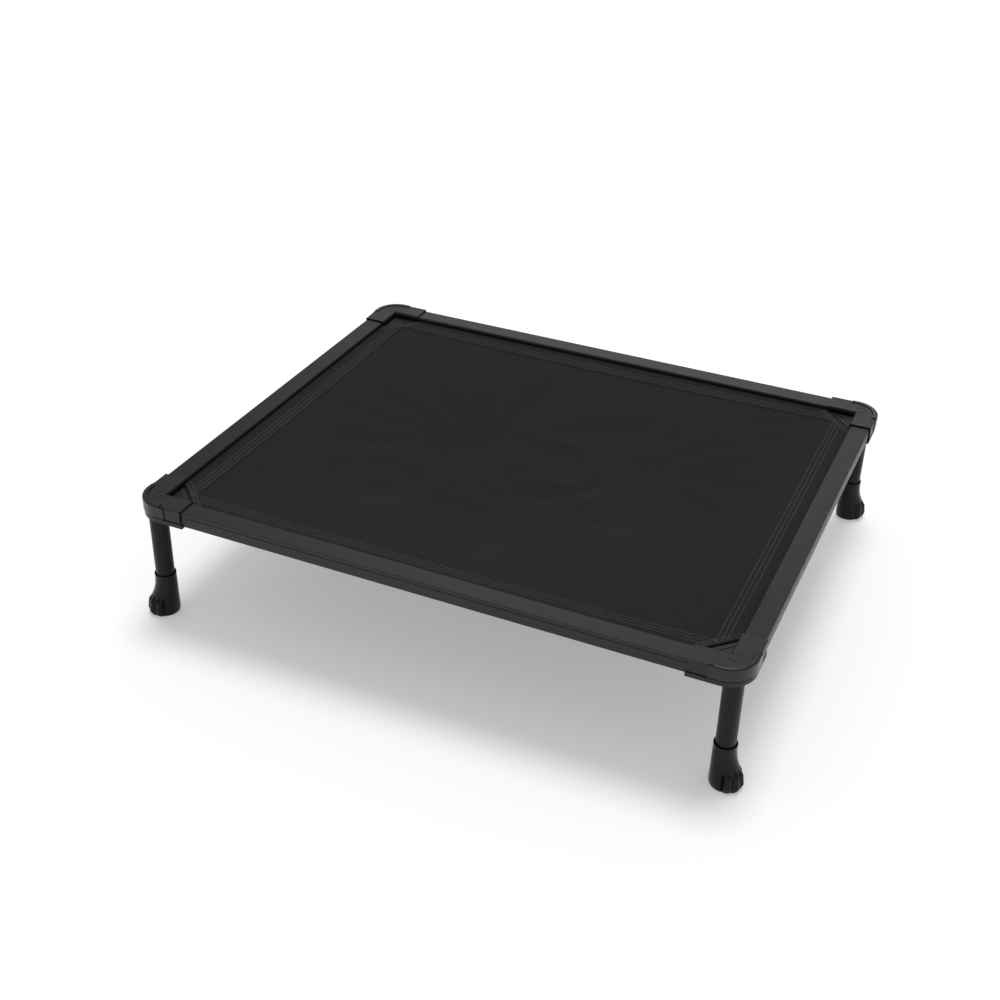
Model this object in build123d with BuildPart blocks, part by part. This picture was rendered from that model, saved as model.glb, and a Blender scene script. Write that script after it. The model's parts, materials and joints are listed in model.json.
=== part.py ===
"""Raised dog bed: four slotted aluminium rails, four moulded corners, a stretched fabric sling and
four screw-in legs with paw-shaped rubber feet.

Frame: millimetres, +Z up, origin on the floor under the middle of the bed. X runs along the long
rails and -Y is the front. Every corner piece is drawn in its corner's own plane, whose origin is the
meeting point of the two outer rail faces and whose two axes run inward along the rails.
"""

from build123d import *
from math import cos, radians, sin
import os

# ---- driving dimensions --------------------------------------------------------------------------
bed_length = 836.0          # over the outer faces of the side rails
bed_width = 705.0           # over the outer faces of the front and back rails
rail_top = 184.0            # height of the rails' top face
rail_height = 20.0
rail_depth = 28.0           # outer face to inner face
rail_wall = 1.5
rail_start = 35.0           # rail ends, measured from the corner's origin
fit_gap = 0.3               # clearance between a moulding and the rail inside it
running_gap = 0.05          # clearance between pieces that slide, turn or press together
overshoot = 1.0             # how far a cut runs past the face it opens

# keder channel and slot in each rail
channel_centre = 21.0       # inward from the outer face
channel_drop = 7.5          # below the rail's top
channel_radius = 4.0
slot_height = 3.0
lip_radius = 3.5
outer_edge_radius = 0.8
snap_groove_drop = 5.5
snap_groove_radius = 0.7

# sling
rod_radius = 3.0
rod_end_radius = 0.6
sling_thickness = 1.6
sleeve_radius = 3.75
sling_cut = 100.6           # sum of the two corner-plane coordinates on the diagonal edge
sling_hem_inset = 60.0
sling_floor_inset = 190.0
sling_sag = 24.0

# corner mouldings
cap_arm = 72.0
cap_proud = 2.2             # cap skin outside the rail faces
cap_top = rail_top + cap_proud
cap_bottom = 168.9
cap_lip_depth = 1.8         # cap skin inside the rail's inner face
cap_lip_bottom = rail_top - 4.2
cap_edge_radius = 1.2
mouth_gap = 1.6             # clearance round the rail at the cap's two mouths
mouth_depth = 5.0
corner_centre = 33.8        # centre of every rounded outer corner, on both axes
mark_radius = 8.0
mark_depth = 0.35
mark_line = 1.0
mark_place = 24.0
bumper_reach = 47.0
bumper_lip_reach = 41.0
bumper_proud = 3.6
bumper_lip = 4.6            # how far the bumper's top lip runs inward past the rail face
bumper_rebate = 1.1
bumper_seam = 1.0           # open line on top between the bumper's lip and the cap
bumper_top = cap_top + 1.1
bumper_edge_radius = 2.4
plate_arm = 73.5
plate_proud = 2.5
plate_bottom = 160.4
plate_floor = 3.3
plate_wall_top = 167.0
plate_wall_inner = 30.2
plate_gusset = 112.0        # coordinate sum on the bottom web's diagonal edge
plate_gusset_root = 0.4     # how far the bottom web runs into the wall it joins
plate_edge_radius = 1.0

# corner insert, screws and leg thread
insert_arm = 34.5
insert_clearance = 0.5
spigot_end = 64.0
spigot_low = 1.9
spigot_high = 14.9
web_reach = 97.4            # coordinate sum on the diagonal edge of the insert's web
web_top = 176.4
web_thickness = 4.0
web_groove = (87.2, 88.8)   # coordinate sums on the two sides of the web's groove
web_groove_depth = 0.9
ledge_reach = 107.0         # coordinate sum on the edge of the ledge that runs on under the fabric
ledge_top = 174.4
web_neck = 27.0             # the web's neck runs from here to the end of the insert's arms
screw_line = 8.4
screw_places = (44.0, 60.0)
screw_radius = 2.0
screw_hole_radius = 2.25
screw_tip = 177.0
screw_head_radius = 3.8
screw_head_height = 2.2
screw_socket_radius = 1.5
screw_socket_depth = 1.2
nut_bottom = 163.9
nut_height = 15.5
nut_radius = 6.0
nut_flange_radius = 8.0
nut_flange = 1.0
thread_radius = 4.0
thread_root = 3.45
thread_pitch = 1.25
thread_grooves = 14
stud_top = 178.9
stud_bottom = 140.0
stud_hole_radius = 5.0

# legs and feet
leg_inset = 20.0            # leg axis, inward from both outer rail faces
leg_radius = 12.7
leg_wall = 1.5
leg_top = plate_bottom - 0.1
plug_bottom = 138.0
foot_height = 64.0
foot_sole = 8.0
foot_collar_radius = 14.8
collar_mouth_radius = 13.8  # the collar stands a little off the tube at its rim
collar_mouth_depth = 5.0
toe_angles = (-42.0, -14.0, 14.0, 42.0)
toe_orbit = 21.2
toe_radius = 7.4
toe_height = 8.2

CORNERS = {
    "front_left": (-1, -1, (1, 0, 0)),
    "front_right": (1, -1, (0, 1, 0)),
    "back_right": (1, 1, (-1, 0, 0)),
    "back_left": (-1, 1, (0, -1, 0)),
}

# how far each foot is turned on its leg, in degrees from the bed's diagonal
FOOT_TURNS = {"front_left": 3.0, "front_right": 31.0, "back_right": -19.0, "back_left": 25.0}

rail_bottom = rail_top - rail_height
channel_height = rail_top - channel_drop
screw_points = [(d, screw_line) for d in screw_places] + [(screw_line, d) for d in screw_places]


def save(part, name):
    part.label = name
    export_step(part, f"parts/{name}.step")


def corner_plane(corner):
    side, end, along = CORNERS[corner]
    return Plane(origin=(side * bed_length / 2, end * bed_width / 2, 0), x_dir=along, z_dir=(0, 0, 1))


def leg_plane(base, corner):
    """Plane on a leg's axis at floor level, its X axis pointing the way the toes point."""
    toe_angle = radians(225 + FOOT_TURNS[corner])
    centre = base.from_local_coords(Vector(leg_inset, leg_inset, 0))
    toes = base.from_local_coords(Vector(leg_inset + cos(toe_angle), leg_inset + sin(toe_angle), 0))
    return Plane(origin=centre, x_dir=toes - centre, z_dir=(0, 0, 1))


# ---- outlines in the corner's plane ---------------------------------------------------------------
def angle_outline(proud, inner, arm):
    """Angle shape with a rounded outer corner, `proud` outside the rail faces."""
    with BuildSketch() as outline:
        with BuildLine():
            path = Polyline(
                (-proud, corner_centre), (-proud, arm), (inner, arm), (inner, inner),
                (arm, inner), (arm, -proud), (corner_centre, -proud),
            )
            TangentArc(path @ 1, path @ 0, tangent=(-1, 0))
        make_face()
    return outline.sketch


def band_outline(proud, inset, reach):
    """Strip round the outer corner, from `proud` outside the rail faces to `inset` inside them."""
    with BuildSketch() as outline:
        with BuildLine():
            outside = Line((corner_centre, -proud), (reach, -proud))
            inside = Polyline(outside @ 1, (reach, inset), (corner_centre, inset))
            bend = TangentArc(inside @ 1, (inset, corner_centre), tangent=(-1, 0))
            back = Polyline(bend @ 1, (inset, reach), (-proud, reach), (-proud, corner_centre))
            TangentArc(outside @ 0, back @ 1, tangent=(-1, 0))
        make_face()
    return outline.sketch


def web_outline(start, reach):
    """Triangle from (start, start) to the diagonal where the two coordinates add to reach."""
    with BuildSketch() as outline:
        with BuildLine():
            Polyline((start, start), (reach - start, start), (start, reach - start), close=True)
        make_face()
    return outline.sketch


# ---- rails ----------------------------------------------------------------------------------------
def rail_section():
    """Extrusion section: X inward from the outer face, Y up."""
    with BuildSketch() as section:
        with BuildLine():
            Polyline((0, rail_bottom), (rail_depth, rail_bottom), (rail_depth, rail_top), (0, rail_top),
                     close=True)
        make_face()
        fillet(vertices().group_by(Axis.Y)[-1].sort_by(Axis.X)[-1], lip_radius)
        fillet(vertices().group_by(Axis.Y)[-1].sort_by(Axis.X)[0], outer_edge_radius)
        fillet(vertices().group_by(Axis.Y)[0], outer_edge_radius)
        chamber_right = channel_centre - channel_radius - rail_wall
        with Locations(((rail_wall + chamber_right) / 2, (rail_bottom + rail_top) / 2)):
            Rectangle(chamber_right - rail_wall, rail_height - 2 * rail_wall, mode=Mode.SUBTRACT)
        with Locations((channel_centre, channel_height)):
            Circle(channel_radius, mode=Mode.SUBTRACT)
        with Locations((channel_centre, channel_height)):
            Rectangle(rail_depth, slot_height, align=(Align.MIN, Align.CENTER), mode=Mode.SUBTRACT)
        lower_top = channel_height - channel_radius - rail_wall
        lower_bottom = rail_bottom + rail_wall
        lower_left = chamber_right + rail_wall
        lower_right = rail_depth - rail_wall
        with Locations(((lower_left + lower_right) / 2, (lower_bottom + lower_top) / 2)):
            Rectangle(lower_right - lower_left, lower_top - lower_bottom, mode=Mode.SUBTRACT)
        with Locations((0, rail_top - snap_groove_drop)):
            Circle(snap_groove_radius, mode=Mode.SUBTRACT)
    return section.sketch


def make_rail(name, origin, inward, along, length, corners):
    with BuildPart() as rail:
        with BuildSketch(Plane(origin=origin, x_dir=inward, z_dir=along)):
            add(rail_section())
        extrude(amount=length)
        for corner in corners:
            with BuildSketch(corner_plane(corner).offset(rail_bottom)):
                with Locations(*screw_points):
                    Circle(screw_hole_radius)
            extrude(amount=rail_wall + overshoot, mode=Mode.SUBTRACT)
    save(rail.part, name)


def make_rails():
    half_x = bed_length / 2
    half_y = bed_width / 2
    long_length = bed_length - 2 * rail_start
    short_length = bed_width - 2 * rail_start
    make_rail("rail_front", (-long_length / 2, -half_y, 0), (0, 1, 0), (1, 0, 0), long_length,
              ("front_left", "front_right"))
    make_rail("rail_back", (long_length / 2, half_y, 0), (0, -1, 0), (-1, 0, 0), long_length,
              ("back_left", "back_right"))
    make_rail("rail_left", (-half_x, short_length / 2, 0), (1, 0, 0), (0, -1, 0), short_length,
              ("front_left", "back_left"))
    make_rail("rail_right", (half_x, -short_length / 2, 0), (-1, 0, 0), (0, 1, 0), short_length,
              ("front_right", "back_right"))


# ---- sling ----------------------------------------------------------------------------------------
cut_length = sling_cut - channel_centre     # rod and sleeve ends, measured from the corner's origin


def hem_lines():
    """Each edge's name, centre of its rod, direction and length between the diagonal corners."""
    reach_x = bed_length / 2 - channel_centre
    reach_y = bed_width / 2 - channel_centre
    long_run = bed_length - 2 * cut_length
    short_run = bed_width - 2 * cut_length
    return (
        ("front", (-long_run / 2, -reach_y, channel_height), (1, 0, 0), long_run),
        ("back", (-long_run / 2, reach_y, channel_height), (1, 0, 0), long_run),
        ("left", (-reach_x, -short_run / 2, channel_height), (0, 1, 0), short_run),
        ("right", (reach_x, -short_run / 2, channel_height), (0, 1, 0), short_run),
    )


def make_rods():
    for edge, start, along, run in hem_lines():
        with BuildPart() as rod:
            with BuildSketch(Plane(origin=start, z_dir=along)):
                Circle(rod_radius)
            extrude(amount=run)
            fillet(rod.edges().filter_by(GeomType.CIRCLE), rod_end_radius)
        save(rod.part, f"sling_rod_{edge}")


def sling_outline():
    """Rectangle with four diagonal corners, reaching into the rail slots."""
    inset = channel_centre + rod_radius
    half_x = bed_length / 2 - inset
    half_y = bed_width / 2 - inset
    cut = sling_cut - 2 * inset
    with BuildSketch() as outline:
        with BuildLine():
            Polyline(
                (half_x - cut, half_y), (half_x, half_y - cut),
                (half_x, cut - half_y), (half_x - cut, -half_y),
                (cut - half_x, -half_y), (-half_x, cut - half_y),
                (-half_x, half_y - cut), (cut - half_x, half_y),
                close=True,
            )
        make_face()
    return outline.sketch


def make_sling():
    top = channel_height + sling_thickness / 2
    with BuildPart() as sling:
        with BuildSketch(Plane.XY.offset(channel_height - sling_thickness / 2)):
            add(sling_outline())
        extrude(amount=sling_thickness)
        for drop, mode in ((sling_thickness, Mode.ADD), (0, Mode.SUBTRACT)):
            with BuildSketch(Plane.XY.offset(top - drop)):
                Rectangle(bed_length - 2 * sling_hem_inset, bed_width - 2 * sling_hem_inset)
            with BuildSketch(Plane.XY.offset(top - drop - sling_sag)):
                Rectangle(bed_length - 2 * sling_floor_inset, bed_width - 2 * sling_floor_inset)
            loft(ruled=True, mode=mode)
        for _, start, along, run in hem_lines():
            with BuildSketch(Plane(origin=start, z_dir=along)):
                Circle(sleeve_radius)
            extrude(amount=run)
            with BuildSketch(Plane(origin=start, z_dir=along)):
                Circle(rod_radius + running_gap)
            extrude(amount=run, mode=Mode.SUBTRACT)
    save(sling.part, "sling")


# ---- corner mouldings -----------------------------------------------------------------------------
def outer_rim(edges, base, proud):
    """Those of the edges that run along the outline `proud` outside the rail faces."""
    def on_rim(edge):
        if edge.geom_type == GeomType.CIRCLE:
            return edge.radius > corner_centre
        middle = base.to_local_coords(edge @ 0.5)
        return abs(min(middle.X, middle.Y) + proud) < running_gap
    return [edge for edge in edges if on_rim(edge)]


def cap_room(base):
    """The space inside a cap: room for the rails and the insert, wider at the two mouths."""
    room = rail_depth + fit_gap
    with BuildPart() as space:
        with BuildSketch(base.offset(cap_bottom)):
            add(angle_outline(fit_gap, room, cap_arm + overshoot))
        extrude(amount=rail_top + fit_gap - cap_bottom)
        with BuildSketch(base.offset(cap_bottom)):
            add(angle_outline(mouth_gap, room, cap_arm + overshoot))
            Rectangle(2 * (cap_arm - mouth_depth), 2 * (cap_arm - mouth_depth), mode=Mode.SUBTRACT)
        extrude(amount=rail_top + mouth_gap - cap_bottom)
        # the inner skirts stop above the fabric slot
        with BuildSketch(base.offset(cap_bottom)):
            with Locations((room - running_gap, room - running_gap)):
                Rectangle(cap_arm, cap_arm, align=(Align.MIN, Align.MIN))
        extrude(amount=cap_lip_bottom - cap_bottom)
    return space.part


def make_cap(base, corner):
    with BuildPart() as cap:
        with BuildSketch(base.offset(cap_bottom)):
            add(angle_outline(cap_proud, rail_depth + cap_lip_depth, cap_arm))
        extrude(amount=cap_top - cap_bottom)
        inner_corner = base.from_local_coords(Vector(rail_depth, rail_depth, cap_top))
        top_edges = cap.faces().sort_by(Axis.Z)[-1].edges()
        fillet(top_edges.sort_by_distance(inner_corner)[:2], lip_radius)
        top_edges = cap.faces().sort_by(Axis.Z)[-1].edges()
        fillet(outer_rim(top_edges, base, cap_proud), cap_edge_radius)
        add(cap_room(base), mode=Mode.SUBTRACT)
        # rebate for the bumper, on top and down the side
        with BuildSketch(base.offset(cap_top - bumper_rebate)):
            add(band_outline(cap_proud + overshoot, bumper_lip, bumper_lip_reach))
        extrude(amount=bumper_rebate, mode=Mode.SUBTRACT)
        with BuildSketch(base.offset(cap_bottom)):
            add(band_outline(cap_proud + overshoot, bumper_rebate - cap_proud, bumper_reach))
        extrude(amount=cap_top - cap_bottom, mode=Mode.SUBTRACT)
        # plain ring mark
        with BuildSketch(base.offset(cap_top - mark_depth)):
            with Locations((mark_place, mark_place)):
                Circle(mark_radius)
                Circle(mark_radius - mark_line, mode=Mode.SUBTRACT)
        extrude(amount=mark_depth, mode=Mode.SUBTRACT)
    save(cap.part, f"corner_cap_{corner}")


def make_bumper(base, corner):
    side_inset = bumper_rebate - cap_proud - running_gap
    lip_bottom = cap_top - bumper_rebate
    with BuildPart() as bumper:
        for reach, top in ((bumper_reach, lip_bottom), (bumper_lip_reach, bumper_top)):
            with BuildSketch(base.offset(cap_bottom)):
                add(band_outline(bumper_proud, side_inset, reach - running_gap))
            extrude(amount=top - cap_bottom)
        with BuildSketch(base.offset(lip_bottom + running_gap)):
            add(band_outline(bumper_proud, bumper_lip - bumper_seam, bumper_lip_reach - bumper_seam))
        extrude(amount=bumper_top - lip_bottom - running_gap)
        top_edges = bumper.faces().sort_by(Axis.Z)[-1].edges()
        fillet(outer_rim(top_edges, base, bumper_proud), bumper_edge_radius)
    save(bumper.part, f"corner_bumper_{corner}")


def make_plate(base, corner):
    with BuildPart() as plate:
        with BuildSketch(base.offset(plate_bottom)):
            add(angle_outline(plate_proud, plate_wall_inner, plate_arm))
        extrude(amount=plate_wall_top - plate_bottom)
        with BuildSketch(base.offset(plate_bottom)):
            add(web_outline(plate_wall_inner - plate_gusset_root, plate_gusset))
        extrude(amount=plate_floor)
        bottom_edges = plate.faces().sort_by(Axis.Z)[0].edges()
        fillet(outer_rim(bottom_edges, base, plate_proud), plate_edge_radius)
        with BuildSketch(base.offset(plate_bottom + plate_floor)):
            add(angle_outline(fit_gap, rail_depth + fit_gap, plate_arm + overshoot))
        extrude(amount=plate_wall_top - plate_bottom, mode=Mode.SUBTRACT)
        with BuildSketch(base.offset(plate_bottom)):
            with Locations((leg_inset, leg_inset)):
                Circle(stud_hole_radius)
            with Locations(*screw_points):
                Circle(screw_hole_radius)
        extrude(amount=plate_floor, mode=Mode.SUBTRACT)
        with BuildSketch(base.offset(plate_bottom)):
            with Locations(*screw_points):
                Circle(screw_head_radius + running_gap)
        extrude(amount=screw_head_height + running_gap, mode=Mode.SUBTRACT)
    save(plate.part, f"corner_plate_{corner}")


def make_insert(base, corner):
    low = rail_bottom + rail_wall + insert_clearance
    high = rail_top - rail_wall - insert_clearance
    with BuildPart() as insert:
        with BuildSketch(base.offset(rail_bottom + insert_clearance)):
            add(angle_outline(-insert_clearance, rail_depth, insert_arm))
        extrude(amount=rail_height - insert_clearance)
        spigot_middle = (spigot_low + spigot_high) / 2
        spigot_length = spigot_end - insert_arm + overshoot
        with BuildSketch(base.offset(low)):
            with Locations((spigot_end - spigot_length / 2, spigot_middle)):
                Rectangle(spigot_length, spigot_high - spigot_low)
            with Locations((spigot_middle, spigot_end - spigot_length / 2)):
                Rectangle(spigot_high - spigot_low, spigot_length)
        extrude(amount=high - low)
        # web that fills the corner between the rails, level with the fabric
        with BuildSketch(base.offset(web_top - web_thickness)):
            add(web_outline(rail_depth + fit_gap, web_reach))
            with Locations((web_neck, web_neck)):
                Rectangle(insert_arm - web_neck, insert_arm - web_neck, align=(Align.MIN, Align.MIN))
        extrude(amount=web_thickness)
        with BuildSketch(base.offset(web_top - web_thickness)):
            add(web_outline(rail_depth + fit_gap, ledge_reach))
        extrude(amount=ledge_top - web_top + web_thickness)
        with BuildSketch(base.offset(web_top - web_groove_depth)):
            add(web_outline(rail_depth, web_groove[1]))
            add(web_outline(rail_depth, web_groove[0]), mode=Mode.SUBTRACT)
        extrude(amount=web_groove_depth, mode=Mode.SUBTRACT)
        with BuildSketch(base.offset(rail_bottom)):
            with Locations((leg_inset, leg_inset)):
                Circle(nut_radius + running_gap)
        extrude(amount=nut_bottom + nut_height + running_gap - rail_bottom, mode=Mode.SUBTRACT)
        with BuildSketch(base.offset(rail_bottom)):
            with Locations((leg_inset, leg_inset)):
                Circle(nut_flange_radius + running_gap)
        extrude(amount=nut_bottom + nut_flange + running_gap - rail_bottom, mode=Mode.SUBTRACT)
        with BuildSketch(base.offset(low)):
            with Locations(*screw_points):
                Circle(screw_radius + running_gap)
        extrude(amount=screw_tip + overshoot - low, mode=Mode.SUBTRACT)
    save(insert.part, f"corner_insert_{corner}")


def make_screws(base, corner):
    with BuildPart() as screws:
        with BuildSketch(base.offset(plate_bottom)):
            with Locations(*screw_points):
                Circle(screw_radius)
        extrude(amount=screw_tip - plate_bottom)
        with BuildSketch(base.offset(plate_bottom)):
            with Locations(*screw_points):
                Circle(screw_head_radius)
        extrude(amount=screw_head_height)
        with BuildSketch(base.offset(plate_bottom)):
            with Locations(*screw_points):
                RegularPolygon(screw_socket_radius, 6)
        extrude(amount=screw_socket_depth, mode=Mode.SUBTRACT)
    save(screws.part, f"corner_screws_{corner}")


# ---- legs -----------------------------------------------------------------------------------------
def make_nut(axis_plane, corner):
    with BuildPart() as nut:
        with BuildSketch(axis_plane.offset(nut_bottom)):
            Circle(nut_radius)
        extrude(amount=nut_height)
        with BuildSketch(axis_plane.offset(nut_bottom)):
            Circle(nut_flange_radius)
        extrude(amount=nut_flange)
        with BuildSketch(axis_plane.offset(nut_bottom)):
            Circle(thread_radius + running_gap)
        extrude(amount=nut_height, mode=Mode.SUBTRACT)
    save(nut.part, f"leg_nut_{corner}")


def thread_profile():
    """Half section of the stud: a plain shank with ring grooves where the thread is."""
    first = stud_top - thread_pitch - thread_grooves * thread_pitch
    points = [(0, stud_bottom), (thread_radius, stud_bottom), (thread_radius, first)]
    for turn in range(thread_grooves):
        points.append((thread_root, first + (turn + 0.5) * thread_pitch))
        points.append((thread_radius, first + (turn + 1) * thread_pitch))
    points.append((thread_root, stud_top))
    points.append((0, stud_top))
    with BuildSketch() as profile:
        with BuildLine():
            Polyline(*points, close=True)
        make_face()
    return profile.sketch


def make_stud(axis_plane, corner):
    upright = Plane(origin=axis_plane.origin, x_dir=axis_plane.x_dir, z_dir=-axis_plane.y_dir)
    with BuildPart() as stud:
        with BuildSketch(upright):
            add(thread_profile())
        revolve(axis=Axis(axis_plane.origin, (0, 0, 1)))
    save(stud.part, f"leg_stud_{corner}")


def make_tube(axis_plane, corner):
    with BuildPart() as tube:
        with BuildSketch(axis_plane.offset(foot_sole + running_gap)):
            Circle(leg_radius)
            Circle(leg_radius - leg_wall, mode=Mode.SUBTRACT)
        extrude(amount=leg_top - foot_sole - running_gap)
    save(tube.part, f"leg_tube_{corner}")


def make_plug(axis_plane, corner):
    with BuildPart() as plug:
        with BuildSketch(axis_plane.offset(plug_bottom)):
            Circle(leg_radius - leg_wall - running_gap)
            Circle(thread_radius + running_gap, mode=Mode.SUBTRACT)
        extrude(amount=leg_top - plug_bottom)
    save(plug.part, f"leg_plug_{corner}")


def make_foot(axis_plane, corner):
    # height, forward shift, half length and half width of each level of the paw
    levels = (
        (0.0, 5.0, 18.5, 15.8),
        (4.0, 6.2, 21.6, 18.2),
        (11.0, 6.8, 22.6, 18.8),
        (20.0, 5.4, 21.0, 18.0),
        (30.0, 2.6, 18.2, 16.6),
        (41.0, 0.8, 15.8, 15.4),
        (52.0, 0.0, 14.9, 14.9),
        (foot_height, 0.0, foot_collar_radius, foot_collar_radius),
    )
    with BuildPart() as foot:
        for height, shift, half_length, half_width in levels:
            with BuildSketch(axis_plane.offset(height)):
                with Locations((shift, 0)):
                    Ellipse(half_length, half_width)
        loft()
        for angle in toe_angles:
            toe = axis_plane.from_local_coords(
                Vector(toe_orbit * cos(radians(angle)), toe_orbit * sin(radians(angle)), toe_height))
            with Locations(toe):
                Sphere(toe_radius)
        with BuildSketch(axis_plane.offset(foot_sole)):
            Circle(leg_radius + running_gap)
        extrude(amount=foot_height - foot_sole, mode=Mode.SUBTRACT)
        with BuildSketch(axis_plane.offset(foot_height - collar_mouth_depth)):
            Circle(collar_mouth_radius)
        extrude(amount=collar_mouth_depth, mode=Mode.SUBTRACT)
    save(foot.part, f"paw_foot_{corner}")


def main():
    os.makedirs("parts", exist_ok=True)
    make_rails()
    make_rods()
    make_sling()
    for corner in CORNERS:
        base = corner_plane(corner)
        axis_plane = leg_plane(base, corner)
        make_cap(base, corner)
        make_bumper(base, corner)
        make_plate(base, corner)
        make_insert(base, corner)
        make_screws(base, corner)
        make_nut(axis_plane, corner)
        make_stud(axis_plane, corner)
        make_tube(axis_plane, corner)
        make_plug(axis_plane, corner)
        make_foot(axis_plane, corner)


main()
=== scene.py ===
"""Looks of the raised dog bed: powder-coated rails and legs, moulded corners, a stretched woven sling
with stitched hems, and paw-shaped rubber feet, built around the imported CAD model. Metres, +Z up."""

import json
from math import atan2, cos, pi, radians, sin

import bmesh
import bpy
import numpy as np
from mathutils import Matrix, Vector


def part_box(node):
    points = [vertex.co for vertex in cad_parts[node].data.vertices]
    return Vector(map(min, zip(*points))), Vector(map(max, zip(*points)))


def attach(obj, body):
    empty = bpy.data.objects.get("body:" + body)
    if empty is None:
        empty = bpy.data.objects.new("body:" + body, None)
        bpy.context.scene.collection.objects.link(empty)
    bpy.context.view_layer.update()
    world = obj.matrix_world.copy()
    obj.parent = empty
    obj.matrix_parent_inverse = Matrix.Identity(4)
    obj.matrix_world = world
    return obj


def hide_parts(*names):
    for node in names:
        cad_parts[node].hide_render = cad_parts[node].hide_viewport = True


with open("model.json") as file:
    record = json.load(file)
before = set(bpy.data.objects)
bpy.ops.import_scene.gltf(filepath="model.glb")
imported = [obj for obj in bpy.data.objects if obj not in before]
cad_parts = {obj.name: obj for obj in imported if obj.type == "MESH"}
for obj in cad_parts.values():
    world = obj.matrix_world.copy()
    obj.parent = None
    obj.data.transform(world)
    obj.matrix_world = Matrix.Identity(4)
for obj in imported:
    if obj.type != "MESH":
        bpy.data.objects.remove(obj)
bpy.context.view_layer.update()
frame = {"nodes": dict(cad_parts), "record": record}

MM = 0.001
CORNERS = {"front_left": (-1, -1), "front_right": (1, -1), "back_right": (1, 1), "back_left": (-1, 1)}

# ---- camera, light and floor ----------------------------------------------------------------------
CAMERA_PLACE = (0.6621, -1.6177, 1.1955)
CAMERA_TURN = radians(23.65)        # left of +Y
CAMERA_PITCH = radians(32.04)       # below the horizon
CAMERA_ROLL = radians(1.44)
CAMERA_LENS = 51.5
SENSOR = 36.0
SKY_STRENGTH = 0.42
KEY_DIRECTION = (-0.03, 0.24, 1.0)
KEY_SPREAD = radians(24)
KEY_STRENGTH = 1.38
SOFTBOX_PLACE = (-0.6, 2.4, 1.6)
SOFTBOX_TARGET = (0.0, 0.0, 0.15)
SOFTBOX_SIZE = (2.0, 1.0)
SOFTBOX_POWER = 6.0
FLOOR_HALF = 16.0
FLOOR_GREY = 0.84
FLOOR_GLOW = 0.32                   # the floor is a lit table, so the shadow on it stays pale


def make_camera():
    forward = Vector((-sin(CAMERA_TURN) * cos(CAMERA_PITCH), cos(CAMERA_TURN) * cos(CAMERA_PITCH),
                      -sin(CAMERA_PITCH)))
    level = Vector((cos(CAMERA_TURN), sin(CAMERA_TURN), 0))
    upward = level.cross(forward)
    right = level * cos(CAMERA_ROLL) + upward * sin(CAMERA_ROLL)
    up = upward * cos(CAMERA_ROLL) - level * sin(CAMERA_ROLL)
    data = bpy.data.cameras.new("camera")
    data.lens = CAMERA_LENS
    data.sensor_width = SENSOR
    camera = bpy.data.objects.new("camera", data)
    bpy.context.scene.collection.objects.link(camera)
    axes = Matrix((right, up, -forward)).transposed().to_4x4()
    camera.matrix_world = Matrix.Translation(CAMERA_PLACE) @ axes
    bpy.context.scene.camera = camera


def make_softbox(name, place, target, size, power):
    data = bpy.data.lights.new(name, "AREA")
    data.shape = "RECTANGLE"
    data.size, data.size_y = size
    data.energy = power
    lamp = bpy.data.objects.new(name, data)
    bpy.context.scene.collection.objects.link(lamp)
    lamp.location = place
    lamp.rotation_euler = (Vector(target) - Vector(place)).to_track_quat("-Z", "Y").to_euler()


def make_key(direction, spread, strength):
    """A distant soft light, the same strength everywhere on the floor."""
    data = bpy.data.lights.new("key_light", "SUN")
    data.energy = strength
    data.angle = spread
    lamp = bpy.data.objects.new("key_light", data)
    bpy.context.scene.collection.objects.link(lamp)
    lamp.rotation_euler = Vector(direction).to_track_quat("Z", "Y").to_euler()


def make_studio():
    world = bpy.data.worlds.new("studio")
    world.use_nodes = True
    background = world.node_tree.nodes["Background"]
    background.inputs["Color"].default_value = (1.0, 1.0, 1.0, 1.0)
    background.inputs["Strength"].default_value = SKY_STRENGTH
    bpy.context.scene.world = world
    bpy.context.scene.view_settings.view_transform = "Standard"
    make_key(KEY_DIRECTION, KEY_SPREAD, KEY_STRENGTH)
    make_softbox("back_softbox", SOFTBOX_PLACE, SOFTBOX_TARGET, SOFTBOX_SIZE, SOFTBOX_POWER)

    mesh = bpy.data.meshes.new("floor")
    corners = [(-1, -1), (1, -1), (1, 1), (-1, 1)]
    mesh.from_pydata([(x * FLOOR_HALF, y * FLOOR_HALF, 0) for x, y in corners], [], [(0, 1, 2, 3)])
    floor = bpy.data.objects.new("floor", mesh)
    bpy.context.scene.collection.objects.link(floor)
    paint = bpy.data.materials.new("floor_paint")
    paint.use_nodes = True
    shader = paint.node_tree.nodes["Principled BSDF"]
    shader.inputs["Base Color"].default_value = (FLOOR_GREY, FLOOR_GREY, FLOOR_GREY, 1.0)
    shader.inputs["Emission Color"].default_value = (1.0, 1.0, 1.0, 1.0)
    shader.inputs["Emission Strength"].default_value = FLOOR_GLOW
    shader.inputs["Roughness"].default_value = 0.9
    shader.inputs["Specular IOR Level"].default_value = 0.1
    mesh.materials.append(paint)


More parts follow.
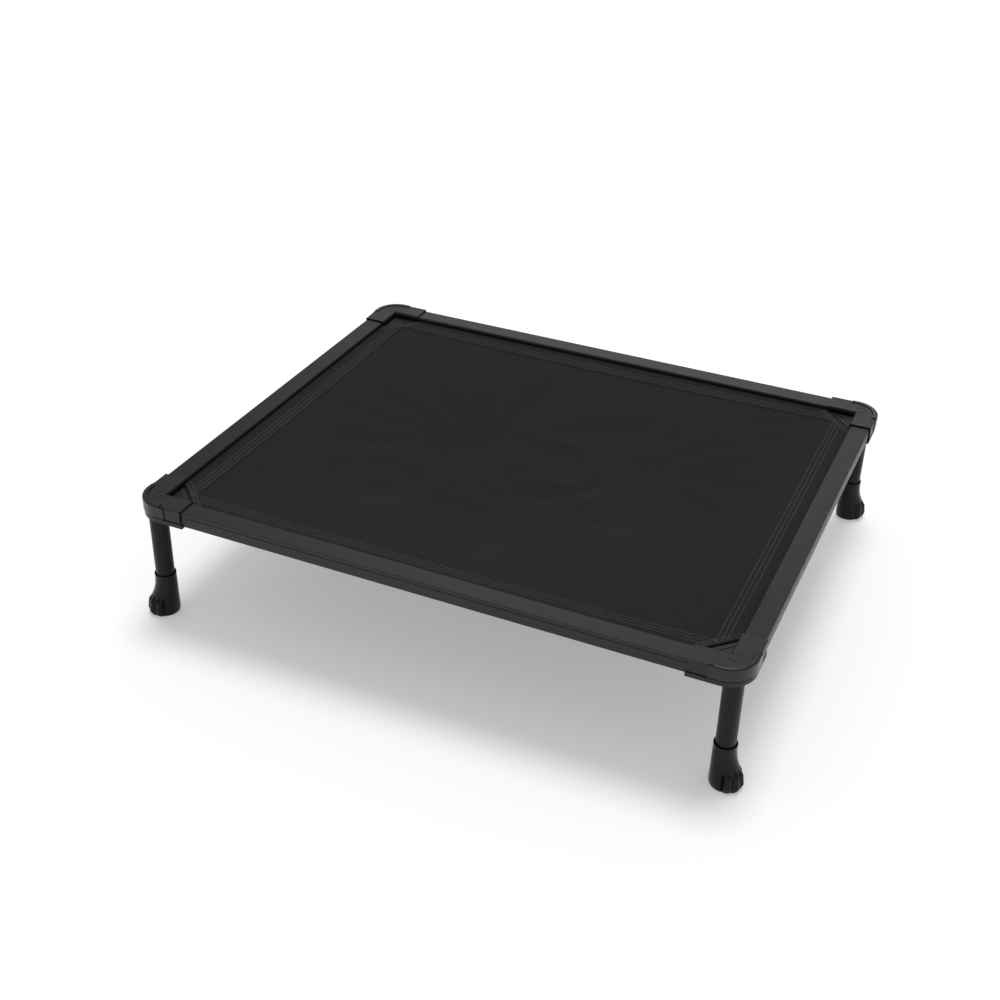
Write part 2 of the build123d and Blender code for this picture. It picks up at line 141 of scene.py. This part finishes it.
# ---- materials ------------------------------------------------------------------------------------
class Surface:
    """A Principled material with small helpers for its node tree."""

    def __init__(self, name):
        self.material = bpy.data.materials.new(name)
        self.material.use_nodes = True
        self.tree = self.material.node_tree
        self.shader = self.tree.nodes["Principled BSDF"]
        self.place = self.tree.nodes.new("ShaderNodeTexCoord").outputs["Object"]

    def link(self, source, socket):
        self.tree.links.new(source, socket)

    def constant(self, **values):
        for name, value in values.items():
            self.shader.inputs[name.replace("_", " ")].default_value = value

    def stretched(self, scale):
        mapping = self.tree.nodes.new("ShaderNodeMapping")
        mapping.inputs["Scale"].default_value = scale
        self.link(self.place, mapping.inputs["Vector"])
        return mapping.outputs["Vector"]

    def noise(self, scale, detail=3.0, rough=0.55, stretch=(1, 1, 1)):
        node = self.tree.nodes.new("ShaderNodeTexNoise")
        node.inputs["Scale"].default_value = scale
        node.inputs["Detail"].default_value = detail
        node.inputs["Roughness"].default_value = rough
        self.link(self.stretched(stretch), node.inputs["Vector"])
        return node.outputs["Fac"]

    def math(self, operation, first, second=None):
        node = self.tree.nodes.new("ShaderNodeMath")
        node.operation = operation
        for socket, value in zip(node.inputs, (first, second)):
            if isinstance(value, (int, float)):
                socket.default_value = value
            elif value is not None:
                self.link(value, socket)
        return node.outputs[0]

    def span(self, value, low, high, start=0.3, end=0.7):
        """Map value from start..end to low..high."""
        node = self.tree.nodes.new("ShaderNodeMapRange")
        node.inputs["From Min"].default_value = start
        node.inputs["From Max"].default_value = end
        node.inputs["To Min"].default_value = low
        node.inputs["To Max"].default_value = high
        self.link(value, node.inputs["Value"])
        return node.outputs["Result"]

    def two_colours(self, factor, dark, light):
        ramp = self.tree.nodes.new("ShaderNodeValToRGB")
        ramp.color_ramp.elements[0].color = (*dark, 1.0)
        ramp.color_ramp.elements[1].color = (*light, 1.0)
        self.link(factor, ramp.inputs["Fac"])
        return ramp.outputs["Color"]

    def bump(self, height, depth, under=None):
        node = self.tree.nodes.new("ShaderNodeBump")
        node.inputs["Strength"].default_value = 1.0
        node.inputs["Distance"].default_value = depth
        self.link(height, node.inputs["Height"])
        if under is not None:
            self.link(under, node.inputs["Normal"])
        return node.outputs["Normal"]


def grey(level, tint=0.0):
    """A near-neutral colour; a positive tint leans to blue."""
    return (level * (1 - tint), level, level * (1 + tint))


def coated(name, level, roughness, grain, depth, stretch=(1, 1, 1), specular=0.5, tint=0.01):
    """Painted, moulded or rubber surface: fine grain in the bump, slow mottling in colour and gloss."""
    surface = Surface(name)
    fine = surface.noise(grain, detail=2.0, stretch=stretch)
    slow = surface.noise(9.0, detail=4.0)
    handled = surface.noise(55.0, detail=5.0, rough=0.65)
    shade = surface.math("ADD", surface.math("MULTIPLY", slow, 0.6), surface.math("MULTIPLY", handled, 0.4))
    dark, light = grey(level * 0.82, tint), grey(level * 1.2, tint)
    colour = surface.two_colours(surface.span(shade, 0.0, 1.0), dark, light)
    gloss = surface.span(handled, roughness - 0.05, roughness + 0.06)
    surface.link(colour, surface.shader.inputs["Base Color"])
    surface.link(gloss, surface.shader.inputs["Roughness"])
    surface.link(surface.bump(fine, depth), surface.shader.inputs["Normal"])
    surface.constant(Specular_IOR_Level=specular)
    return surface.material


def metallic(name, colour, roughness, lines=(1, 1, 1)):
    """Bare metal with fine tool lines and a little tarnish."""
    surface = Surface(name)
    fine = surface.noise(900.0, detail=2.0, stretch=lines)
    stain = surface.noise(120.0, detail=4.0)
    dull = tuple(channel * 0.7 for channel in colour)
    surface.link(surface.two_colours(surface.span(stain, 0.0, 1.0), dull, colour),
                 surface.shader.inputs["Base Color"])
    surface.link(surface.span(fine, roughness - 0.06, roughness + 0.1), surface.shader.inputs["Roughness"])
    surface.link(surface.bump(fine, 0.01 * MM), surface.shader.inputs["Normal"])
    surface.constant(Metallic=1.0)
    return surface.material


YARN = 1.15 * MM        # distance between neighbouring yarns


def woven(name, level):
    """Plain-woven matte fabric: yarns crossing along X and Y, slubs, and slow fading."""
    surface = Surface(name)
    split = surface.tree.nodes.new("ShaderNodeSeparateXYZ")
    surface.link(surface.place, split.inputs["Vector"])
    turns = 2 * pi / YARN / 2
    across = surface.math("SINE", surface.math("MULTIPLY", split.outputs["X"], turns))
    along = surface.math("SINE", surface.math("MULTIPLY", split.outputs["Y"], turns))
    crossing = surface.math("MULTIPLY", across, along)
    ribs = surface.math("MAXIMUM", surface.math("ABSOLUTE", across), surface.math("ABSOLUTE", along))
    weave = surface.math("ADD", surface.math("MULTIPLY", crossing, 0.5), ribs)
    slubs = surface.noise(160.0, detail=3.0, stretch=(1, 6, 1))
    fade = surface.noise(5.0, detail=5.0, rough=0.6)
    fibres = surface.noise(2600.0, detail=2.0)
    tone = surface.math("ADD", surface.math("MULTIPLY", slubs, 0.35), surface.math("MULTIPLY", fade, 0.45))
    tone = surface.math("ADD", tone, surface.math("MULTIPLY", surface.span(weave, 0.0, 1.0, 0.2, 1.4), 0.2))
    surface.link(surface.two_colours(surface.span(tone, 0.0, 1.0, 0.3, 0.7), grey(level * 0.78, 0.01),
                                     grey(level * 1.25, 0.01)), surface.shader.inputs["Base Color"])
    surface.link(surface.span(slubs, 0.74, 0.92), surface.shader.inputs["Roughness"])
    normal = surface.bump(weave, 0.12 * MM)
    surface.link(surface.bump(fibres, 0.03 * MM, normal), surface.shader.inputs["Normal"])
    surface.constant(Specular_IOR_Level=0.1, Sheen_Weight=0.04, Sheen_Roughness=0.5)
    return surface.material


def paint_cad_nodes():
    """Give every carried-over CAD node its material, chosen by the node's slot in the record."""
    coats = {
        "corner_plastic": coated("corner_plastic", 0.009, 0.42, 1500.0, 0.035 * MM, specular=0.34),
        "bumper_plastic": coated("bumper_plastic", 0.007, 0.30, 1800.0, 0.02 * MM, specular=0.40),
        "insert_plastic": coated("insert_plastic", 0.010, 0.5, 900.0, 0.04 * MM, specular=0.30),
        "rod_plastic": coated("rod_plastic", 0.03, 0.5, 700.0, 0.02 * MM),
        "leg_coat": coated("leg_coat", 0.007, 0.34, 1300.0, 0.022 * MM, (1, 1, 0.35), specular=0.17),
        "screw_steel": metallic("screw_steel", (0.55, 0.56, 0.57), 0.34),
        "stud_steel": metallic("stud_steel", (0.60, 0.60, 0.61), 0.30, lines=(1, 1, 12)),
        "nut_brass": metallic("nut_brass", (0.80, 0.62, 0.30), 0.30),
    }
    rail_coats = {
        "x": coated("rail_coat_x", 0.009, 0.40, 1300.0, 0.03 * MM, (0.12, 1, 1), specular=0.36),
        # the rails along Y get weaker specular than those along X, a painted shade that makes the same coat
        # look darker on them
        "y": coated("rail_coat_y_painted_shade", 0.009, 0.40, 1300.0, 0.03 * MM, (1, 0.12, 1), specular=0.27),
    }
    slots = {part["node"]: part["material_slot"] for part in frame["record"]["subparts"]}
    for node, piece in frame["nodes"].items():
        slot = slots[node]
        if slot == "rail_coat":
            low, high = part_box(node)
            coat = rail_coats["x" if high.x - low.x > high.y - low.y else "y"]
        else:
            coat = coats.get(slot)
        if coat is not None:
            piece.data.materials.clear()
            piece.data.materials.append(coat)


# ---- mesh helpers ---------------------------------------------------------------------------------
def new_piece(name, vertices, faces, material, smooth=True):
    mesh = bpy.data.meshes.new(name)
    mesh.from_pydata([tuple(vertex) for vertex in vertices], [], [tuple(face) for face in faces])
    mesh.validate()
    for polygon in mesh.polygons:
        polygon.use_smooth = smooth
    mesh.materials.append(material)
    piece = bpy.data.objects.new(name, mesh)
    bpy.context.scene.collection.objects.link(piece)
    return piece


def smooth_step(value, low, high):
    share = np.clip((value - low) / (high - low), 0.0, 1.0)
    return share * share * (3 - 2 * share)


# ---- paw feet -------------------------------------------------------------------------------------
# how far each foot is turned on its leg, in degrees from the bed's diagonal
FOOT_TURNS = {"front_left": 3.0, "front_right": 31.0, "back_right": -19.0, "back_left": 25.0}
# height, forward shift, half length and half width of each level of the paw
PAW_LEVELS = np.array((
    (0.0, 5.0, 17.9, 15.2), (1.2, 5.3, 19.6, 16.6), (4.0, 5.8, 20.8, 17.4), (9.0, 6.2, 21.5, 17.9),
    (15.0, 6.2, 21.3, 17.8), (22.0, 5.2, 20.2, 17.2), (30.0, 3.2, 18.0, 16.3), (38.0, 1.4, 16.3, 15.4),
    (46.0, 0.4, 15.2, 14.9), (54.0, 0.0, 14.7, 14.6), (61.0, 0.0, 14.6, 14.6), (64.0, 0.0, 14.8, 14.8),
)) * MM
TOE_EDGES = np.radians((-54.0, -26.0, 0.0, 26.0, 54.0))
TOE_GROOVE = 5.4 * MM
COLLAR_RADIUS = 14.8 * MM
COLLAR_MOUTH = 13.75 * MM
AROUND = 240


def toe_lobes(angle):
    """1 on the crown of a toe, 0 in the grooves between toes and outside them."""
    lobes = np.zeros_like(angle)
    for left, right in zip(TOE_EDGES[:-1], TOE_EDGES[1:]):
        across = (angle - left) / (right - left)
        inside = (across > 0) & (across < 1)
        lobes[inside] = np.sqrt(np.clip(1 - (2 * across[inside] - 1) ** 2, 0, 1))
    return lobes


def paw_radius(angle, height):
    """Distance from the leg's axis to the paw's skin."""
    levels = PAW_LEVELS[:, 0]
    shift, half_length, half_width = (np.interp(height, levels, column) for column in PAW_LEVELS.T[1:])
    c, s = np.cos(angle), np.sin(angle)
    a = (c / half_length) ** 2 + (s / half_width) ** 2
    b = -2 * shift * c / half_length ** 2
    k = (shift / half_length) ** 2 - 1
    radius = (-b + np.sqrt(b * b - 4 * a * k)) / (2 * a)
    toes = smooth_step(np.cos(angle), cos(radians(66)), cos(radians(50)))
    rise = smooth_step(height, 0.5 * MM, 6 * MM) * (1 - smooth_step(height, 19 * MM, 33 * MM))
    groove = toes * (0.25 + 0.75 * rise) * (1 - smooth_step(height, 26 * MM, 35 * MM))
    knuckle = np.exp(-((height - 22 * MM) / (5.5 * MM)) ** 2) * 1.5 * MM
    tip = np.exp(-((height - 8 * MM) / (6.5 * MM)) ** 2) * 1.3 * MM
    lobes = toe_lobes(angle)
    return radius + toes * lobes * (knuckle + tip) - groove * (1 - lobes) * TOE_GROOVE


def sole_height(x, y):
    """The underside: a heel pad and four toe pads touch the floor, the rest is slightly recessed."""
    pads = [(-3.5, 0.0, 12.0, 12.5)]
    pads += [(19.5 * cos(t), 19.5 * sin(t), 4.6, 4.0) for t in np.radians((-40.0, -13.0, 13.0, 40.0))]
    height = np.full_like(x, 1.3 * MM)
    for centre_x, centre_y, half_x, half_y in pads:
        away = np.hypot((x / MM - centre_x) / half_x, (y / MM - centre_y) / half_y)
        height = np.minimum(height, 1.3 * MM * smooth_step(away, 0.86, 1.04))
    return height


def make_paw(corner, material):
    low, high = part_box(f"leg_tube_{corner}")
    axis = ((low.x + high.x) / 2, (low.y + high.y) / 2)
    tube_radius = (high.x - low.x) / 2
    bore = tube_radius + 0.05 * MM
    bore_floor = low.z - 0.05 * MM
    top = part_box(f"paw_foot_{corner}")[1].z
    mouth = COLLAR_MOUTH
    angles = np.linspace(0, 2 * pi, AROUND, endpoint=False)
    wrapped = (angles + pi) % (2 * pi) - pi
    # rings from the middle of the sole outward, up the skin, over the rim and down the bore
    rings = []
    edge = paw_radius(wrapped, np.zeros_like(wrapped)) * 0.97
    for share in (0.12, 0.24, 0.36, 0.46, 0.56, 0.64, 0.72, 0.79, 0.86, 0.92, 0.97, 1.0):
        x, y = edge * share * np.cos(angles), edge * share * np.sin(angles)
        rings.append((x, y, sole_height(x, y) if share < 1 else np.full_like(x, 0.25 * MM)))
    skin = np.concatenate((np.linspace(0.5, 5, 6), np.linspace(6.5, 36, 25), np.linspace(38, 60, 9))) * MM
    for height in np.append(skin, (61.6 * MM, 62.6 * MM, 63.3 * MM)):
        radius = paw_radius(wrapped, np.full_like(wrapped, height))
        rings.append((radius * np.cos(angles), radius * np.sin(angles), np.full_like(angles, height)))
    rim = COLLAR_RADIUS
    inside_rings = (
        (rim - 0.1 * MM, top - 0.35 * MM), (rim - 0.4 * MM, top), (mouth + 0.2 * MM, top),
        (mouth, top - 0.2 * MM), (mouth, top - 5 * MM), (bore, top - 6 * MM),
        (bore, top / 2), (bore, bore_floor + 0.3 * MM), (bore - 0.4 * MM, bore_floor),
    )
    for radius, height in inside_rings:
        rings.append((radius * np.cos(angles), radius * np.sin(angles), np.full_like(angles, height)))
    vertices = [np.stack(ring, axis=1) for ring in rings]
    points = np.concatenate(vertices + [np.array(((0, 0, 0.0), (0, 0, bore_floor)))])
    faces = []
    for row in range(len(rings) - 1):
        for i in range(AROUND):
            j = (i + 1) % AROUND
            low_row, high_row = row * AROUND, (row + 1) * AROUND
            faces.append((low_row + i, low_row + j, high_row + j, high_row + i))
    under, inside = len(rings) * AROUND, len(rings) * AROUND + 1
    last = (len(rings) - 1) * AROUND
    for i in range(AROUND):
        j = (i + 1) % AROUND
        faces.append((under, j, i))
        faces.append((last + i, last + j, inside))
    side, end = CORNERS[corner]
    turn = atan2(end, side) + radians(FOOT_TURNS[corner])
    spin = np.array(((cos(turn), -sin(turn)), (sin(turn), cos(turn))))
    points[:, :2] = points[:, :2] @ spin.T + axis
    paw = new_piece(f"paw_{corner}", points, faces, material)
    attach(paw, f"leg_{corner}")
    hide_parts(f"paw_foot_{corner}")


# ---- sling ----------------------------------------------------------------------------------------
CLOTH = 1.0 * MM                    # thickness of one layer
HEM_STEP = 0.8 * MM                # the turned-over layer stands this much higher
HEM_WIDTH = 31 * MM
DIAGONAL_HEM = 13 * MM
STITCH_ROWS = (15.5 * MM, 21.5 * MM, 27.5 * MM)
DIAGONAL_ROWS = (4.0 * MM, 9.0 * MM)
SAG = 30 * MM
CELL = 4 * MM
OWN_WEIGHT = 0.35                   # load of the fabric itself, against the weights below
RELAX_STEPS = 900
RELAX_RATE = 1.93
# places where the fabric has been pressed down: x, y, spread, weight
PRESSED = (
    (-0.06, -0.10, 0.085, 1.0), (0.06, -0.11, 0.070, 0.8),
    (0.14, 0.06, 0.100, 0.8), (-0.10, 0.05, 0.140, 0.9),
)


class Sling:
    """Places of the sling's edges, read from the frame, and the height of its surface."""

    def __init__(self):
        rod_right, rod_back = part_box("sling_rod_right"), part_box("sling_rod_back")
        self.level = (rod_right[0].z + rod_right[1].z) / 2
        self.rod_radius = (rod_right[1].z - rod_right[0].z) / 2
        self.rod_x = (rod_right[0].x + rod_right[1].x) / 2
        self.rod_y = (rod_back[0].y + rod_back[1].y) / 2
        self.run_x, self.run_y = rod_back[1].x, rod_right[1].y
        self.edge_x, self.edge_y = rod_right[0].x, rod_back[0].y
        self.rail_x, self.rail_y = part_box("rail_right")[0].x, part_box("rail_back")[0].y
        # the diagonal edge is where |x| + |y| equals this
        self.reach = self.edge_x + self.run_y + self.rod_radius
        self.solve()

    def solve(self):
        """Relax a taut skin, held along the rails and the diagonals, under the pressed places."""
        self.xs = np.linspace(-self.rail_x, self.rail_x, 131)
        self.ys = np.linspace(-self.rail_y, self.rail_y, 109)
        x, y = np.meshgrid(self.xs, self.ys, indexing="ij")
        load = np.full_like(x, OWN_WEIGHT)
        for centre_x, centre_y, spread, weight in PRESSED:
            load += weight * np.exp(-((x - centre_x) ** 2 + (y - centre_y) ** 2) / (2 * spread ** 2))
        free = np.abs(x) + np.abs(y) < self.reach
        free[0], free[-1], free[:, 0], free[:, -1] = False, False, False, False
        colour = (np.add.outer(np.arange(len(self.xs)), np.arange(len(self.ys))) % 2).astype(bool)
        depth = np.zeros_like(x)
        for step in range(RELAX_STEPS):
            around = np.zeros_like(x)
            along_x = depth[2:, 1:-1] + depth[:-2, 1:-1]
            along_y = depth[1:-1, 2:] + depth[1:-1, :-2]
            around[1:-1, 1:-1] = along_x + along_y + load[1:-1, 1:-1]
            turn = free & (colour if step % 2 else ~colour)
            depth[turn] += RELAX_RATE * (around[turn] / 4 - depth[turn])
        self.depth = depth / depth.max() * SAG

    def sag(self, x, y):
        i = np.clip(np.interp(x, self.xs, np.arange(len(self.xs))), 0, len(self.xs) - 1.001)
        j = np.clip(np.interp(y, self.ys, np.arange(len(self.ys))), 0, len(self.ys) - 1.001)
        a, b = i.astype(int), j.astype(int)
        u, v = i - a, j - b
        d = self.depth
        near = d[a, b] * (1 - u) + d[a + 1, b] * u
        far = d[a, b + 1] * (1 - u) + d[a + 1, b + 1] * u
        return near * (1 - v) + far * v

    def inset(self, x, y):
        """Distances in from the rails' faces and from the diagonal edges."""
        straight = np.minimum(self.rail_x - np.abs(x), self.rail_y - np.abs(y))
        diagonal = (self.reach - np.abs(x) - np.abs(y)) / np.sqrt(2)
        return straight, diagonal

    def wrinkles(self, x, y):
        """Shallow folds round the pressed places and along the pull from the corners."""
        folds = np.zeros_like(x)
        for k, (centre_x, centre_y, spread, weight) in enumerate(PRESSED):
            away = np.hypot(x - centre_x, y - centre_y)
            angle = np.arctan2(y - centre_y, x - centre_x)
            wave = np.sin(angle * (7 + 2 * k) + 1.7 * k + 9 * away) * np.sin(angle * 3 + k)
            folds += weight * 1.5 * MM * wave * np.exp(-((away - 1.35 * spread) / (0.6 * spread)) ** 2)
        for side, end in CORNERS.values():
            corner_x, corner_y = side * self.rail_x, end * self.rail_y
            away = np.hypot(x - corner_x, y - corner_y)
            angle = np.arctan2(y - corner_y, x - corner_x)
            folds += 0.55 * MM * np.sin(angle * 19 + side + 2 * end) * np.exp(-((away - 0.13) / 0.06) ** 2)
        straight, diagonal = self.inset(x, y)
        return folds * smooth_step(np.minimum(straight, diagonal), 18 * MM, 60 * MM)

    def hem(self, x, y):
        """The doubled layer along the edges, puckered along its rows of stitches."""
        straight, diagonal = self.inset(x, y)
        doubled = np.maximum(1 - smooth_step(straight, HEM_WIDTH, HEM_WIDTH + 0.5 * MM),
                             1 - smooth_step(diagonal, DIAGONAL_HEM, DIAGONAL_HEM + 0.5 * MM))
        height = doubled * HEM_STEP
        for distance, rows in ((straight, STITCH_ROWS), (diagonal, DIAGONAL_ROWS)):
            for row in rows:
                height -= 0.45 * MM * np.exp(-((distance - row) / (1.0 * MM)) ** 2) * doubled
        inside = smooth_step(np.minimum(straight, diagonal), -1 * MM, 2 * MM)
        return height * inside

    def middle(self, x, y):
        """Height of the middle of the cloth."""
        x, y = np.asarray(x, float), np.asarray(y, float)
        return self.level - self.sag(x, y) + self.wrinkles(x, y) + self.hem(x, y)


def grid_lines(edge, rail):
    """Coordinates of the sheet's mesh lines on one side of the middle, close together in the hem."""
    hem = [0.0]
    for row in STITCH_ROWS:
        hem += [row - 2.4 * MM, row - 1.0 * MM, row, row + 1.0 * MM, row + 2.4 * MM]
    hem += [HEM_WIDTH, HEM_WIDTH + 0.5 * MM, HEM_WIDTH + 2 * MM]
    inner = rail - hem[-1]
    count = round(inner / CELL)
    lines = [inner * k / count for k in range(count + 1)]
    lines += [rail - distance for distance in reversed(hem[:-1])]
    return sorted(set(lines + [(edge + rail) / 2, edge]))


def make_sheet(sling, material):
    lines = []
    for edge, rail in ((sling.edge_x, sling.rail_x), (sling.edge_y, sling.rail_y)):
        half = grid_lines(edge, rail)
        lines.append([-value for value in reversed(half[1:])] + half)
    work = bmesh.new()
    grid = [[work.verts.new((x, y, 0)) for y in lines[1]] for x in lines[0]]
    for i in range(len(grid) - 1):
        for j in range(len(grid[0]) - 1):
            work.faces.new((grid[i][j], grid[i + 1][j], grid[i + 1][j + 1], grid[i][j + 1]))
    cuts = [0.0]
    for row in DIAGONAL_ROWS:
        cuts += [row - 1 * MM, row, row + 1 * MM]
    cuts += [DIAGONAL_HEM, DIAGONAL_HEM + 0.5 * MM]
    for side, end in CORNERS.values():
        outward = Vector((side, end, 0)).normalized()
        for cut in cuts:
            place = outward * (sling.reach / np.sqrt(2) - cut)
            bound = place.length - 3 * CELL
            near = [face for face in work.faces if face.calc_center_median().dot(outward) > bound]
            edges = {edge for face in near for edge in face.edges}
            verts = {vert for face in near for vert in face.verts}
            bmesh.ops.bisect_plane(work, geom=list(verts) + list(edges) + near, plane_co=place,
                                   plane_no=outward, clear_outer=cut == 0.0, dist=1e-5)
    points = np.array([vert.co for vert in work.verts])
    for vert, height in zip(work.verts, sling.middle(points[:, 0], points[:, 1])):
        vert.co.z = height
    add_sleeves(work, sling)
    mesh = bpy.data.meshes.new("sling_sheet")
    work.to_mesh(mesh)
    work.free()
    for polygon in mesh.polygons:
        polygon.use_smooth = True
    mesh.materials.append(material)
    sheet = bpy.data.objects.new("sling_sheet", mesh)
    bpy.context.scene.collection.objects.link(sheet)
    solid = sheet.modifiers.new("thickness", "SOLIDIFY")
    solid.thickness = CLOTH
    solid.offset = 0.0
    return sheet


def add_sleeves(work, sling):
    """The sheet's edge wrapped round each rod."""
    radius = sling.rod_radius + 0.4 * MM
    sides = 20
    for along, reach, run in ((0, sling.rod_y, sling.run_x), (1, sling.rod_x, sling.run_y)):
        for sign in (-1, 1):
            steps = np.linspace(-run, run, 60)
            rings = []
            for step in steps:
                ring = []
                for k in range(sides):
                    turn = 2 * pi * k / sides
                    across = sign * (reach + radius * cos(turn))
                    height = sling.level + radius * sin(turn)
                    point = (step, across, height) if along == 0 else (across, step, height)
                    ring.append(work.verts.new(point))
                rings.append(ring)
            for first, second in zip(rings[:-1], rings[1:]):
                for k in range(sides):
                    n = (k + 1) % sides
                    work.faces.new((first[k], second[k], second[n], first[n]))


# ---- stitches -------------------------------------------------------------------------------------
STITCH = 2.6 * MM                   # advance of the zigzag per stitch
ZIGZAG = 1.1 * MM                   # half width of the zigzag
THREAD = 0.34 * MM                  # radius
# profile of one stitch along its length: share of the length, share of the radius
STITCH_PROFILE = ((-0.5, 0.25), (-0.32, 0.9), (0.0, 1.0), (0.32, 0.9), (0.5, 0.25))


def stitch_rows(sling):
    """Start and end of every row of stitches, in plan."""
    rows = []
    for sign in (-1, 1):
        for row in STITCH_ROWS:
            y = sling.rail_y - row
            half = sling.reach - y - 6 * MM
            rows.append(((-half, sign * y), (half, sign * y)))
            x = sling.rail_x - row
            half = sling.reach - x - 6 * MM
            rows.append(((sign * x, -half), (sign * x, half)))
    for side, end in CORNERS.values():
        for row in DIAGONAL_ROWS:
            reach = sling.reach - row * np.sqrt(2)
            x = sling.rail_x - 3 * MM
            y = sling.rail_y - 3 * MM
            rows.append(((side * x, end * (reach - x)), (side * (reach - y), end * y)))
    return rows


def make_stitches(sling, material):
    vertices, faces = [], []
    sides = 5
    for start, stop in stitch_rows(sling):
        start, stop = np.array(start), np.array(stop)
        length = np.linalg.norm(stop - start)
        ahead = (stop - start) / length
        beside = np.array((-ahead[1], ahead[0]))
        count = int(length / STITCH)
        steps = np.arange(count + 1)[:, None]
        turns = start + ahead * STITCH * steps + beside * ZIGZAG * np.where(steps % 2, 1, -1)
        heights = sling.middle(turns[:, 0], turns[:, 1]) + CLOTH / 2 + 0.1 * MM
        path = np.column_stack((turns, heights))
        for first, second in zip(path[:-1], path[1:]):
            axis = second - first
            size = np.linalg.norm(axis)
            axis /= size
            across = np.cross(axis, (0, 0, 1.0))
            across /= np.linalg.norm(across)
            upward = np.cross(across, axis)
            centre = (first + second) / 2
            base = len(vertices)
            for share, width in STITCH_PROFILE:
                lift = (0.25 - share * share) * 0.5 * MM
                for k in range(sides):
                    turn = 2 * pi * k / sides
                    rise = THREAD * width * sin(turn) + lift
                    aside = THREAD * width * cos(turn)
                    vertices.append(centre + axis * size * share * 1.1 + upward * rise + across * aside)
            for ring in range(len(STITCH_PROFILE) - 1):
                for k in range(sides):
                    n = (k + 1) % sides
                    a, b = base + ring * sides, base + (ring + 1) * sides
                    faces.append((a + k, b + k, b + n, a + n))
            last = base + (len(STITCH_PROFILE) - 1) * sides
            faces.append(tuple(base + k for k in range(sides)))
            faces.append(tuple(last + k for k in reversed(range(sides))))
    return new_piece("sling_stitches", vertices, faces, material)


def make_sling():
    sling = Sling()
    sheet = make_sheet(sling, woven("sling_fabric", 0.0150))
    stitches = make_stitches(sling, coated("stitch_thread", 0.085, 0.5, 3000.0, 0.02 * MM))
    for piece in (sheet, stitches):
        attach(piece, "frame")
    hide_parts("sling")


# ---- everything -----------------------------------------------------------------------------------
make_camera()
make_studio()
paint_cad_nodes()
rubber = coated("foot_rubber", 0.005, 0.22, 500.0, 0.02 * MM, specular=0.20)
for corner in CORNERS:
    make_paw(corner, rubber)
make_sling()
